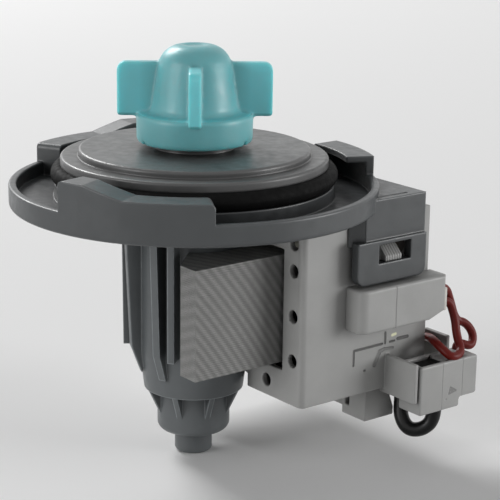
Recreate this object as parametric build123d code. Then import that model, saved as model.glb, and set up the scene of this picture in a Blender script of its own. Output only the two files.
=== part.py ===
from build123d import *
import os
from math import atan2, degrees, hypot, pi, radians, tan

# Dishwasher drain pump: a bayonet flange with a hooded arm, a wet rotor in its can,
# a laminated U-core with two coils in a white housing, and a four-vane impeller.
# Millimetres. The origin is on the shaft axis at the underside of the flange.
# +Z points along the shaft to the impeller, +X from the shaft to the coils,
# and -Y is the side that carries the terminals and the plug.

# Clearances
bond_gap = 0.05        # between pressed, welded or clipped pieces of one assembly
running_gap = 0.04     # radial, between the shaft and what turns on it
air_gap = 0.4          # between the rotor can and the poles of the core
rotor_gap = 0.7        # radial, between the magnet and the bore of its can
end_play = 0.5         # of the rotor between its two bearings

# how far a cutting shape runs past what it cuts
margin = 1.0
# how far a shape reaches into the one that it is fused to
overlap = 0.5
# how closely an edge matches the place where it is looked for
near = 0.01

# Bayonet flange
flange_r = 41.6
flange_floor = 1.8
rim_wall = 1.8
rim_top = 4.9
rim_round = 0.4
foot_round = 0.8
# from the rim's inner wall to the spigot, the space that the sump's collar enters
collar_space = 8.3
spigot_r = flange_r - rim_wall - collar_space
spigot_wall = 1.6
spigot_web = 1.7
hook_low_top = 9.2
hook_high_top = 11.5
hook_reach = 6.4
hook_inner_r = flange_r - hook_reach
hook_plate = 1.4
hook_stop = 1.8
hook_round = 1.2
# where the turned ring's seam lies, in degrees, clear of the hooks and the hood
seam_angle = 150.0
# each hook: low end with the stop wall, foot of the ramp, head of the ramp, open end, in degrees
front_hook = (240.0, 213.0, 200.5, 191.0)
back_hook = (117.0, 91.0, 80.0, 71.0)
side_hook = (1.0, -27.0)

# half the width of the coil housing, which the arm, the latches, the cover and the plug go by
box_y = 30.5

# Hooded arm over the coils
hood_end_x = 40.0
hood_top = 3.3
hood_plate = 1.8
hood_panel = 2.1
hood_space = 0.8
hood_y = box_y + hood_space + hood_panel
hood_panel_x = 22.3
hood_ledge_z = -5.9
hood_ledge = 0.7
hood_frame_x = 19.7
hood_frame_bottom = -15.7
hood_frame_round = 2.2
hood_stub_bottom = -7.5
hood_stub = 2.2
hood_slit_x = 26.0
hood_slit_length = 10.0
hood_slit_inset = 1.8
hood_slit_y = hood_y - hood_slit_inset
hood_slit_width = 0.8
window_x = 25.8
window_width = 9.6
window_top = -6.8
window_bottom = -11.2

# Rotor can
can_bore = 11.1
can_r = 12.6
can_mouth = 3.4
can_cone_top = -35.0
can_cone_bottom = -43.7
can_foot_r = 11.5
can_wall_end = -37.2
can_floor = -42.2
can_floor_r = 9.8
boss_r = 8.42
boss_bottom = -54.2
boss_round = 1.8
nub_r = 4.35
nub_bottom = -59.7
nub_round = 0.9
fin_top_r = 16.5
long_fin_angle = 20.0
long_fin_foot_r = 15.0
long_fin_foot = -33.0
long_fin_end = -39.5
long_fin_width = 1.9
short_fin_angle = 35.6
short_fin_foot_r = 16.2
short_fin_end = -33.7
short_fin_width = 1.6
gusset_count = 8
gusset_phase = 31.5
gusset_r = 11.2
gusset_bottom = -49.6
gusset_width = 1.3

# Front plate with its groove for the sealing ring
# the flat land on the spigot that carries the sealing ring
spigot_land = 5.1
lip_r = spigot_r - spigot_land
groove_wall = 1.8
groove_r = lip_r + groove_wall
groove_top = 8.9
groove_depth = 1.9
plate_r = groove_r + groove_depth
plate_top = 10.9
plate_round = 0.6
step_inset = 0.3
step_r = lip_r - step_inset
step_top = 12.5
step_round = 0.7
plate_wall = 2.0
lip_bottom = 2.3
neck_r = 9.0
neck_top = 13.5
neck_bottom = 2.6
neck_roof = 1.8
neck_gap = 0.6
rib_count = 8
rib_bottom = 6.5
rib_width = 1.4

# Shaft, bearings and rotor
shaft_r = 2.0
shaft_bottom = -57.4
shaft_top = 32.0
shaft_chamfer = 0.4
bearing_r = 4.8
mount_ring_r = 6.6
front_bearing_length = 7.0
rear_bearing_length = 6.5
rear_bearing_bottom = -52.3
magnet_r = can_bore - rotor_gap
magnet_bore = 4.6
magnet_length = 27.0
magnet_centre = -21.2
core_flange_r = 9.4
core_flange = 1.5
core_neck_r = 3.6
washer_r = 4.3
washer = 0.8

# Laminated core
core_height = 25.0
core_top = -8.7
leg_inner = 9.6
leg_outer = 22.5
leg_tip_x = -15.95
# the far leg's end, which the photo shows to be hidden behind the can
far_leg_tip_x = -4.0
leg_chamfer_x = -8.65
leg_chamfer_y = 17.0
yoke_x = 33.0
yoke_end_x = 44.0
rivet_r = 1.6
rivet_head = 0.5
rivet_head_r = 2.6
rivet_x = 38.5
rivet_y = 17.0

# Coil housing
box_front_x = 7.2
box_end_x = 44.5
box_top = -1.0
box_bottom = -42.6
box_wall = 1.6
box_round = 1.3
opening_space = 1.0
opening_y = leg_outer + opening_space
opening_top = -7.2
opening_bottom = -35.2
can_notch_r = 13.2
pin_hole_r = 1.5
pin_hole_y = (opening_y + box_y) / 2
pin_hole_levels = (-5.3, -11.5, -21.9, -32.2)
floor_hole_y = 18.0
floor_hole_z = -39.0
wedge_x = 28.3
wedge_width = 4.9
# how far the wedge stays below the face of the window's frame
wedge_sink = 0.5
wedge_y = hood_y + hood_ledge - wedge_sink
wedge_lip = 1.2
wedge_ramp = 3.0

# Bobbins, coils
bobbin_front_x = 14.2
bobbin_wall = 1.0
bobbin_flange = 1.0
bobbin_split_y = 3.9
coil_build = 4.0

# Terminal cover on the side of the housing
cover_x = 19.6
cover_end_x = 45.0
cover_rise = 5.7
cover_y = box_y + cover_rise
cover_top = -16.3
cover_bottom = -26.4
cover_wall = 1.2
cover_round = 0.7
cover_end_round = 2.0
# the cut corner at the lower right
cover_cut_x = 40.3
cover_cut_height = 1.6
tab_x = (24.0, 30.0)
tab_height = 5.0
tab_thickness = 0.8
tab_length = 3.7
tab_reach = box_y + tab_length
cutout_x = 34.0
cutout_length = 9.0
cutout_r = 1.9

# Foot block and plug holder under the housing
foot_x = 28.5
foot_end_x = 37.5
foot_slant_x = 35.0
foot_slant_z = -49.0
foot_y = 28.0
foot_inner_y = 13.0
foot_step_y = 20.0
foot_bottom = -51.0
foot_step = 1.2
foot_slot_y = 21.7
foot_slot_width = 1.4
foot_slot_height = 3.4
foot_slot_depth = 2.0
holder_x = 32.0
holder_wall = 1.1
holder_bottom = -43.8
holder_top = -34.4
holder_back_x = 47.2
holder_back_top = -31.8
holder_lip = 1.0
holder_arm_inset = 3.5
holder_arm_y = box_y - holder_arm_inset
# how far the holder's front wall stays behind the plug's face
holder_sink = 0.4

# Plug
plug_x = 33.5
plug_end_x = 51.4
# from the housing's side to the plug's face
plug_rise = 10.5
plug_y = box_y + plug_rise
plug_depth = 7.2
plug_gap = 0.1
plug_top = -35.3
plug_bottom = -46.9
plug_step_x = 46.0
plug_step_bottom = -44.7
plug_round = 0.7
plug_entry_x = 34.8
plug_entry_length = 7.6
plug_entry_depth = 6.5
plug_dip_x = 46.2
plug_dip = 0.5
plug_wall = 1.2
socket_depth = 8.0
contact_count = 3
contact_pitch = 2.6
contact_size = 0.7
contact_reach = 3.6

# Wires
wire_r = 1.0
# how much of the shorter of two runs the arc between them may take
bend_share = 0.45
# routes of the two red leads and the black lead, from the terminal side to the plug
red_coil_route = [(45.0, -33.2, -23.6), (47.8, -33.2, -23.6), (49.4, -34.4, -28.0), (49.9, -35.8, -31.6),
                  (48.0, -38.2, -33.9), (43.4, -38.7, -34.7), (43.8, -34.8, -34.2), (45.8, -31.4, -33.9),
                  (45.7, -28.4, -33.5), (42.6, -25.9, -33.0), (37.5, -25.7, -32.4), (33.0, -25.7, -32.4)]
red_plug_route = [(45.0, -33.9, -20.2), (48.6, -33.9, -20.2), (51.6, -34.6, -26.6), (54.2, -35.2, -29.4),
                  (55.2, -36.2, -32.2), (53.6, -37.6, -33.6), (51.4, -38.1, -33.0), (50.3, -38.4, -34.1),
                  (50.3, -38.4, -35.3)]
black_route = [(38.4, -29.6, -42.6), (38.4, -29.6, -46.5), (37.2, -30.8, -50.6), (37.8, -33.0, -53.4),
               (40.0, -35.6, -53.0), (41.8, -37.2, -50.4), (41.8, -37.2, -46.9)]

# Impeller
dome_foot_r = 10.1
dome_top_r = 8.4
dome_top = 36.0
dome_round = 7.0
dimple_r = 1.8
dimple_depth = 0.4
skirt_r = 13.0
skirt_bottom = 14.0
skirt_top = 20.5
skirt_round = 0.7
skirt_wall = 1.6
vane_count = 4
vane_phase = 54.0
vane_r = 17.3
vane_bottom = 19.9
vane_top = 31.8
vane_width = 2.3
vane_round = 1.9
hollow_r = 7.8
hollow_top = 28.6
hollow_floor = 18.9
tip_space = 0.5
lug_inner = 4.6
lug_angle = 18.0
lug_bottom = 21.5
hub_cover = 1.8
hub_cover_bottom = 15.0
snap_slot_angles = (61.0, 119.0, 241.0, 299.0)
snap_slot_width = 2.0
snap_slot_height = 0.9
snap_ledge = 0.8
dog_r = 3.8
dog_bottom = 17.5
dog_top = 27.6
dog_reach = 6.9
dog_arm_bottom = 20.5
dog_arm_top = 26.8
dog_angle = 17.0
damper_angle = 6.0


def block(x0, x1, y0, y1, z0, z1):
    """A box between the given planes."""
    return Pos((x0 + x1) / 2, (y0 + y1) / 2, (z0 + z1) / 2) * Box(x1 - x0, y1 - y0, z1 - z0)


def disc(radius, z0, z1, x=0, y=0):
    """A round bar along Z."""
    return Pos(x, y, (z0 + z1) / 2) * Cylinder(radius, z1 - z0)


def pipe(inner, outer, z0, z1):
    """A tube along Z."""
    return disc(outer, z0, z1) - disc(inner, z0, z1)


def turned(points, angle=360.0):
    """A profile of (radius, height) points turned about the shaft axis."""
    return revolve(make_face(Plane.XZ * Polyline(*points, close=True)), Axis.Z, angle)


def sector(inner, outer, z0, z1, start, end):
    """A piece of tube from one angle to another, in degrees."""
    profile = [(inner, z0), (outer, z0), (outer, z1), (inner, z1)]
    return Rot(0, 0, start) * turned(profile, end - start)


def radial_plate(points, width, angle):
    """A flat plate that stands on the shaft axis, from (radius, height) points."""
    face = make_face(Plane.XZ * Polyline(*points, close=True))
    return Rot(0, 0, angle) * extrude(face, width / 2, both=True)


def both_sides(shape):
    """The shape and its mirror image across the XZ plane."""
    return shape + mirror(shape, Plane.XZ)


def ring_edges(shape, radius, z):
    """Circular edges about the shaft axis with this radius at this height."""
    return shape.edges().filter_by(
        lambda e: e.geom_type == GeomType.CIRCLE
        and abs(e.radius - radius) < near
        and abs(e.arc_center.Z - z) < near
        and abs(e.arc_center.X) + abs(e.arc_center.Y) < near
    )


def upright_edges(shape, x, y):
    """Straight edges along Z through (x, y)."""
    return shape.edges().filter_by(Axis.Z).filter_by(
        lambda e: abs(e.center().X - x) < near and abs(e.center().Y - y) < near
    )


def above_ramp(foot, head, low, high):
    """The space over a hook's top: flat at the low height, then a ramp up to the high one."""
    middle = (foot + head) / 2
    half_run = flange_r * tan(radians((foot - head) / 2))
    reach = 2 * flange_r
    side = Polyline(
        (-half_run, high), (half_run, low), (reach, low), (reach, reach), (-half_run, reach), close=True
    )
    return Rot(0, 0, middle) * extrude(make_face(Plane.YZ * side), reach, dir=(1, 0, 0))


def stop_angle():
    """The angle that a hook's stop wall takes up."""
    return degrees(hook_stop / flange_r)


def hook_cuts(stop, foot, head, opening):
    """What is cut from the tall rim for a hook: the space under its plate and over its ramp."""
    rim_inner = flange_r - rim_wall
    low_under = hook_low_top - hook_plate
    high_under = hook_high_top - hook_plate
    under = sector(hook_inner_r - margin, rim_inner, flange_floor, high_under, opening, stop - stop_angle())
    under -= above_ramp(foot, head, low_under, high_under)
    over = sector(hook_inner_r - margin, flange_r + margin, hook_low_top, hook_high_top + margin, opening, stop)
    over &= above_ramp(foot, head, hook_low_top, hook_high_top)
    return [under, over]


def plain_hook_cuts(stop, opening):
    """The same for a hook that is low all along."""
    rim_inner = flange_r - rim_wall
    low_under = hook_low_top - hook_plate
    under = sector(hook_inner_r - margin, rim_inner, flange_floor, low_under, opening, stop - stop_angle())
    over = sector(hook_inner_r - margin, flange_r + margin, hook_low_top, hook_high_top + margin, opening, stop)
    return [under, over]


def gap_cut(start, end):
    """The open channel and low rim between two hooks."""
    rim_inner = flange_r - rim_wall
    top = hook_high_top + margin
    channel = sector(hook_inner_r - margin, rim_inner, flange_floor, top, start, end)
    return channel + sector(hook_inner_r - margin, flange_r + margin, rim_top, top, start, end)


def hook_end_edges(shape, angle, z):
    """The edge along the radius where a hook's top meets its end."""
    return shape.edges().filter_by(GeomType.LINE).filter_by(
        lambda e: abs(e.center().Z - z) < near
        and hypot(e.center().X, e.center().Y) > hook_inner_r
        and abs((degrees(atan2(e.center().Y, e.center().X)) - angle + 180) % 360 - 180) < near
    )


def hood():
    """The arm over the coils: a top plate, and on each side a panel with a latch window."""
    plate = block(hood_frame_x, hood_end_x, -hood_y, hood_y, hood_top - hood_plate, hood_top)
    slit = block(
        hood_slit_x, hood_slit_x + hood_slit_length,
        -hood_slit_y - hood_slit_width / 2, -hood_slit_y + hood_slit_width / 2, 0, hood_top,
    )
    corner = block(hood_frame_x, hood_panel_x, -hood_y, hood_y, 0, hood_top)
    plate -= corner - disc(flange_r - rim_wall / 2, 0, hood_top)
    panel = block(hood_panel_x, hood_end_x, -hood_y, hood_panel - hood_y, hood_ledge_z, hood_top)
    stub = block(hood_panel_x, hood_panel_x + hood_stub, -hood_y, hood_panel - hood_y, hood_stub_bottom, 0)
    frame_y = hood_y + hood_ledge
    frame = block(hood_frame_x, hood_end_x, -frame_y, hood_panel - frame_y, hood_frame_bottom, hood_ledge_z)
    lower = frame.edges().filter_by(Axis.Y).group_by(Axis.Z)[0]
    frame = fillet(lower, hood_frame_round)
    window = block(
        window_x, window_x + window_width, -frame_y - margin, hood_panel - frame_y + margin, window_bottom, window_top
    )
    side = panel + stub + (frame - window)
    arm = plate + both_sides(side) - both_sides(slit)
    return arm - disc(flange_r - rim_wall / 2, 0, hood_top)


def bayonet_flange():
    """Flange, spigot and three hooks, turned as one tall ring and then cut free."""
    spigot_bore = lip_r + bond_gap
    floor_bore = can_r + bond_gap
    body = Rot(0, 0, seam_angle) * turned([
        (floor_bore, 0), (flange_r, 0), (flange_r, hook_high_top), (hook_inner_r, hook_high_top),
        (hook_inner_r, flange_floor), (spigot_r, flange_floor), (spigot_r, rim_top),
        (spigot_bore, rim_top), (spigot_bore, flange_floor), (floor_bore, flange_floor),
    ])
    body = fillet(ring_edges(body, flange_r, 0), foot_round)
    side_stop, side_opening = side_hook
    cuts = hook_cuts(*front_hook) + hook_cuts(*back_hook) + plain_hook_cuts(*side_hook)
    cuts.append(gap_cut(side_stop, back_hook[3]))
    cuts.append(gap_cut(back_hook[0], front_hook[3]))
    cuts.append(gap_cut(front_hook[0], side_opening + 360))
    for cut in cuts:
        body -= cut
    body += hood()
    body -= pipe(spigot_bore + spigot_wall, spigot_r - spigot_wall, 0, rim_top - spigot_web)
    body = fillet(ring_edges(body, flange_r, rim_top), rim_round)
    body = fillet(ring_edges(body, flange_r - rim_wall, rim_top), rim_round)
    for angle, z in (
        (front_hook[0], hook_low_top), (front_hook[3], hook_high_top),
        (back_hook[0], hook_low_top), (back_hook[3], hook_high_top), (side_hook[0], hook_low_top),
    ):
        body = fillet(hook_end_edges(body, angle, z), hook_round)
    return body


def long_fin(angle):
    return radial_plate([
        (can_bore + overlap, 0), (fin_top_r, 0), (long_fin_foot_r, long_fin_foot),
        (can_r, long_fin_end), (can_bore + overlap, can_wall_end),
    ], long_fin_width, angle)


def short_fin(angle):
    return radial_plate([
        (can_bore + overlap, 0), (fin_top_r, 0), (short_fin_foot_r, short_fin_end),
        (can_bore + overlap, short_fin_end),
    ], short_fin_width, angle)


def rotor_can():
    """The wet can: bore, tapered end with gussets, bearing boss and end nub."""
    outside = turned([
        (0, can_mouth), (can_r, can_mouth), (can_r, can_cone_top), (can_foot_r, can_cone_bottom),
        (boss_r, can_cone_bottom), (boss_r, boss_bottom), (nub_r, boss_bottom), (nub_r, nub_bottom),
        (0, nub_bottom),
    ])
    outside = fillet(ring_edges(outside, boss_r, boss_bottom), boss_round)
    outside = fillet(ring_edges(outside, nub_r, nub_bottom), nub_round)
    for side in (-1, 1):
        outside += long_fin(180 + side * long_fin_angle)
        outside += short_fin(180 + side * short_fin_angle)
    gusset_points = [
        (boss_r - overlap, can_cone_bottom + overlap), (gusset_r, can_cone_bottom + overlap),
        (gusset_r, can_cone_bottom), (boss_r, gusset_bottom), (boss_r - overlap, gusset_bottom),
    ]
    for index in range(gusset_count):
        outside += radial_plate(gusset_points, gusset_width, gusset_phase + index * 360 / gusset_count)
    pocket_r = mount_ring_r + bond_gap
    inside = turned([
        (0, can_mouth), (can_bore, can_mouth), (can_bore, can_wall_end), (can_floor_r, can_floor),
        (pocket_r, can_floor), (pocket_r, rear_bearing_bottom), (shaft_r + end_play, rear_bearing_bottom),
        (shaft_r + end_play, shaft_bottom - end_play), (0, shaft_bottom - end_play),
    ])
    return outside - inside


def front_plate():
    """The cover of the rotor space: two steps, a neck for the front bearing and ribs beneath."""
    roof = step_top - plate_wall
    seat_r = mount_ring_r + bond_gap
    seat_top = neck_top - neck_roof
    shaft_hole = shaft_r + neck_gap
    body = turned([
        (shaft_hole, neck_top), (neck_r, neck_top), (neck_r, step_top), (step_r, step_top),
        (step_r, plate_top), (plate_r, plate_top), (plate_r, groove_top), (groove_r, groove_top),
        (groove_r, rim_top), (lip_r, rim_top), (lip_r, lip_bottom), (lip_r - plate_wall, lip_bottom),
        (lip_r - plate_wall, roof), (neck_r, roof), (neck_r, neck_bottom), (seat_r, neck_bottom),
        (seat_r, seat_top), (shaft_hole, seat_top),
    ])
    body = fillet(ring_edges(body, plate_r, plate_top), plate_round)
    body = fillet(ring_edges(body, step_r, step_top), step_round)
    rib_points = [
        (neck_r - overlap, roof + overlap), (lip_r - plate_wall + overlap, roof + overlap),
        (lip_r - plate_wall + overlap, rib_bottom), (neck_r - overlap, rib_bottom),
    ]
    for index in range(rib_count):
        body += radial_plate(rib_points, rib_width, index * 360 / rib_count)
    return body


def seal_ring():
    """The round rubber ring in the groove between the spigot and the front plate."""
    section_r = (groove_top - rim_top) / 2
    centre_r = groove_r + bond_gap + section_r
    return Pos(0, 0, rim_top + section_r) * Torus(centre_r, section_r)


def front_bearing_top():
    return neck_top - neck_roof


def front_bearing():
    top = front_bearing_top()
    return pipe(shaft_r + running_gap, bearing_r, top - front_bearing_length, top)


def front_bearing_ring():
    top = front_bearing_top()
    return pipe(bearing_r, mount_ring_r, top - front_bearing_length, top)


def rear_bearing():
    top = rear_bearing_bottom + rear_bearing_length
    return pipe(shaft_r + running_gap, bearing_r, rear_bearing_bottom, top)


def rear_bearing_ring():
    top = rear_bearing_bottom + rear_bearing_length
    return pipe(bearing_r, mount_ring_r, rear_bearing_bottom, top)


def shaft():
    body = disc(shaft_r, shaft_bottom, shaft_top)
    ends = body.edges().filter_by(GeomType.CIRCLE)
    return chamfer(ends, shaft_chamfer)


def magnet_span():
    return magnet_centre - magnet_length / 2, magnet_centre + magnet_length / 2


def rotor_core_top():
    """Under the front thrust washer, with the end play above the washer."""
    return front_bearing_top() - front_bearing_length - end_play - washer


def rotor_core_bottom():
    return rear_bearing_bottom + rear_bearing_length + end_play + washer


def rotor_magnet():
    low, high = magnet_span()
    return pipe(magnet_bore, magnet_r, low, high)


def rotor_core():
    """The moulded spool that joins the magnet to the shaft."""
    low, high = magnet_span()
    return turned([
        (shaft_r, rotor_core_bottom()), (core_neck_r, rotor_core_bottom()), (core_neck_r, low - core_flange),
        (core_flange_r, low - core_flange), (core_flange_r, low), (magnet_bore, low), (magnet_bore, high),
        (core_flange_r, high), (core_flange_r, high + core_flange), (core_neck_r, high + core_flange),
        (core_neck_r, rotor_core_top()), (shaft_r, rotor_core_top()),
    ])


def thrust_washer_front():
    return pipe(shaft_r, washer_r, rotor_core_top(), rotor_core_top() + washer)


def thrust_washer_rear():
    return pipe(shaft_r, washer_r, rotor_core_bottom() - washer, rotor_core_bottom())


def core_span():
    return core_top - core_height, core_top


def stator_core():
    """The laminated U: two legs with round pole faces, the near one with a chamfered tip, and a yoke."""
    low, high = core_span()
    outline = Polyline(
        (far_leg_tip_x, leg_outer), (yoke_end_x, leg_outer), (yoke_end_x, -leg_outer), (leg_tip_x, -leg_outer),
        (leg_tip_x, -leg_chamfer_y), (leg_chamfer_x, -leg_inner), (yoke_x, -leg_inner), (yoke_x, leg_inner),
        (far_leg_tip_x, leg_inner), close=True,
    )
    body = Pos(0, 0, low) * extrude(make_face(outline), core_height, dir=(0, 0, 1))
    body -= disc(can_r + air_gap, low, high)
    for side in (-1, 1):
        body -= disc(rivet_r, low, high, rivet_x, side * rivet_y)
    return body


def core_rivets():
    """Two rivets through the yoke, with a flat head at each end."""
    low, high = core_span()
    rivets = []
    for side in (-1, 1):
        body = disc(rivet_r, low, high, rivet_x, side * rivet_y)
        for z0, z1 in ((low - rivet_head, low), (high, high + rivet_head)):
            body += disc(rivet_head_r, z0, z1, rivet_x, side * rivet_y)
        rivets.append(body)
    return rivets


def latch_wedge():
    """The snap wedge that stands in the hood's window."""
    ramp_foot = window_bottom + wedge_lip
    outline = Plane.YZ * Polyline(
        (overlap - box_y, window_bottom), (-wedge_y, window_bottom), (-wedge_y, ramp_foot),
        (-box_y, ramp_foot + wedge_ramp), (overlap - box_y, ramp_foot + wedge_ramp), close=True,
    )
    return Pos(wedge_x, 0, 0) * extrude(make_face(outline), wedge_width, dir=(1, 0, 0))


def foot_block():
    """The stepped block under the housing, with a slanted end and a small slot."""
    side = Plane.XZ * Polyline(
        (foot_x, box_bottom), (foot_slant_x, box_bottom), (foot_end_x, foot_slant_z),
        (foot_end_x, foot_bottom), (foot_x, foot_bottom), close=True,
    )
    body = Pos(0, -foot_step_y, 0) * extrude(make_face(side), foot_y - foot_step_y, dir=(0, -1, 0))
    body += block(foot_x + foot_step, foot_slant_x, -foot_step_y, -foot_inner_y, foot_bottom + foot_step, box_bottom)
    slot_z = (foot_bottom + box_bottom) / 2
    body -= block(
        foot_x, foot_x + foot_slot_depth,
        -foot_slot_y - foot_slot_width / 2, -foot_slot_y + foot_slot_width / 2,
        slot_z - foot_slot_height / 2, slot_z + foot_slot_height / 2,
    )
    return body


def plug_holder():
    """The wall before the plug, and behind it an arm whose lip lies over the plug's top."""
    holder_y = plug_y - holder_sink
    front = block(holder_x, holder_x + holder_wall, -holder_y, box_wall - box_y, holder_bottom, holder_top)
    arm_end = holder_back_x + holder_wall
    plug_inner_y = plug_depth - plug_y + plug_gap
    lip_y = plug_depth - plug_y - holder_lip
    arm = block(box_end_x - box_wall, arm_end, -box_y, -holder_arm_y, box_bottom, box_bottom + box_wall)
    arm += block(holder_back_x, arm_end, plug_inner_y, -holder_arm_y, box_bottom, holder_back_top)
    arm += block(holder_back_x, arm_end, lip_y, plug_inner_y, plug_top + bond_gap, holder_back_top)
    return front + arm


def pin_hole(y, z):
    """A hole through the housing's front wall."""
    return Pos(box_front_x, y, z) * Rot(0, 90, 0) * Cylinder(pin_hole_r, 2 * (box_wall + margin))


def coil_housing():
    """The moulded box over both coils, open behind, with a frame round the core's legs."""
    body = block(box_front_x, box_end_x, -box_y, box_y, box_bottom, box_top)
    corners = upright_edges(body, box_front_x, -box_y) + upright_edges(body, box_front_x, box_y)
    body = fillet(corners, box_round)
    body -= block(
        box_front_x + box_wall, box_end_x, box_wall - box_y, box_y - box_wall,
        box_bottom + box_wall, box_top - box_wall,
    )
    body -= block(box_front_x, box_front_x + box_wall, -opening_y, opening_y, opening_bottom, opening_top)
    body -= disc(can_notch_r, box_bottom, box_top)
    for side in (-1, 1):
        for level in pin_hole_levels:
            body -= pin_hole(side * pin_hole_y, level)
        body -= pin_hole(side * floor_hole_y, floor_hole_z)
    body += both_sides(latch_wedge())
    body += foot_block()
    body += plug_holder()
    for x in tab_x:
        body -= tab(x, bond_gap)
    return body


def tab(x, grow=0.0):
    """One flat terminal through the housing's side wall."""
    middle = (cover_top + cover_bottom) / 2
    return block(
        x - tab_thickness / 2 - grow, x + tab_thickness / 2 + grow, -tab_reach - grow, box_wall - box_y + grow,
        middle - tab_height / 2 - grow, middle + tab_height / 2 + grow,
    )


def terminal_pins():
    return [tab(x) for x in tab_x]


def terminal_cover():
    """The cover over the terminals, with an opening for the leads at its end."""
    body = block(cover_x, cover_end_x, -cover_y, -box_y, cover_bottom, cover_top)
    corner = Plane.XZ * Polyline(
        (cover_cut_x, cover_bottom), (cover_end_x, cover_bottom), (cover_end_x, cover_bottom + cover_cut_height),
        close=True,
    )
    body -= Pos(0, -box_y, 0) * extrude(make_face(corner), cover_y - box_y, dir=(0, -1, 0))
    body = fillet(upright_edges(body, cover_x, -cover_y), cover_end_round)
    outer = body.edges().filter_by(lambda e: e.center().Y < -cover_y + near)
    body = fillet(outer, cover_round)
    body -= block(
        cover_x + cover_wall, cover_end_x - cover_wall, cover_wall - cover_y, -box_y,
        cover_bottom + cover_wall, cover_top - cover_wall,
    )
    return body


def thermal_cutout():
    """The overheat switch under the terminal cover, in line with the box."""
    middle = (cover_top + cover_bottom) / 2
    y = -box_y - cutout_r
    return Pos(cutout_x + cutout_length / 2, y, middle) * Rot(0, 90, 0) * Cylinder(cutout_r, cutout_length)


def bobbin():
    """The bobbin on the leg at -Y, between the can and the yoke."""
    low, high = core_span()
    inner_low = box_bottom + box_wall
    inner_high = box_top - box_wall
    flange_y = box_y - box_wall
    tube = block(
        bobbin_front_x, yoke_x, -leg_outer - bobbin_wall, bobbin_wall - leg_inner,
        low - bobbin_wall, high + bobbin_wall,
    )
    for x in (bobbin_front_x, yoke_x - bobbin_flange):
        tube += block(x, x + bobbin_flange, -flange_y, -bobbin_split_y, inner_low, inner_high)
    return tube - block(bobbin_front_x, yoke_x, -leg_outer, -leg_inner, low, high)


def winding():
    """The coil on the bobbin at -Y."""
    low, high = core_span()
    x0 = bobbin_front_x + bobbin_flange
    x1 = yoke_x - bobbin_flange
    inside = block(x0, x1, -leg_outer - bobbin_wall, bobbin_wall - leg_inner, low - bobbin_wall, high + bobbin_wall)
    build = bobbin_wall + coil_build
    outside = block(x0, x1, -leg_outer - build, build - leg_inner, low - build, high + build)
    outside = fillet(outside.edges().filter_by(Axis.X), coil_build / 2)
    return outside - inside


def socket_span():
    """Heights of the plug's socket, inside its walls."""
    return plug_step_bottom + plug_wall, plug_top - plug_wall


def plug_housing():
    """The plug: a stepped block with a wire entry on top and a socket at its far end."""
    back_y = plug_depth - plug_y
    body = block(plug_x, plug_step_x, -plug_y, back_y, plug_bottom, plug_top)
    body += block(plug_step_x, plug_end_x, -plug_y, back_y, plug_step_bottom, plug_top)
    rounded = body.edges().filter_by(Axis.Y)
    body = fillet(rounded, plug_round)
    entry_y = (plug_wall - plug_y, back_y - plug_wall)
    body -= block(
        plug_entry_x, plug_entry_x + plug_entry_length, entry_y[0], entry_y[1],
        plug_top - plug_entry_depth, plug_top,
    )
    body -= block(plug_entry_x, plug_dip_x, entry_y[0], entry_y[1], plug_top - plug_dip, plug_top)
    low, high = socket_span()
    body -= block(plug_end_x - socket_depth, plug_end_x, entry_y[0], entry_y[1], low, high)
    return body


def plug_contacts():
    """The square pins at the bottom of the plug's socket."""
    low, high = socket_span()
    middle = (low + high) / 2
    y = -plug_y + plug_depth / 2
    floor_x = plug_end_x - socket_depth
    half = contact_size / 2
    pins = []
    for index in range(contact_count):
        z = middle + (index - (contact_count - 1) / 2) * contact_pitch
        pins.append(block(floor_x, floor_x + contact_reach, y - half, y + half, z - half, z + half))
    return pins


def bend_radii(points):
    """As large an arc at each corner as its two runs allow."""
    radii = []
    for before, corner, after in zip(points, points[1:], points[2:]):
        first = Vector(*corner) - Vector(*before)
        second = Vector(*after) - Vector(*corner)
        turn = radians(first.get_angle(second))
        radii.append(bend_share * min(first.length, second.length) / tan(turn / 2))
    return radii


def wire(name, points):
    """A round wire along straight runs joined by tangent arcs."""
    radii = bend_radii(points)
    path = FilletPolyline(*points, radius=radii)
    start = Plane(origin=path @ 0, z_dir=path % 0)
    solid = sweep(start * Circle(wire_r), path)
    ratio = solid.volume / (pi * wire_r ** 2 * path.length)
    print(f"{name}: length {path.length:.1f} mm, volume ratio {ratio:.4f}, tightest bend {min(radii):.1f} mm")
    return solid


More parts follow.
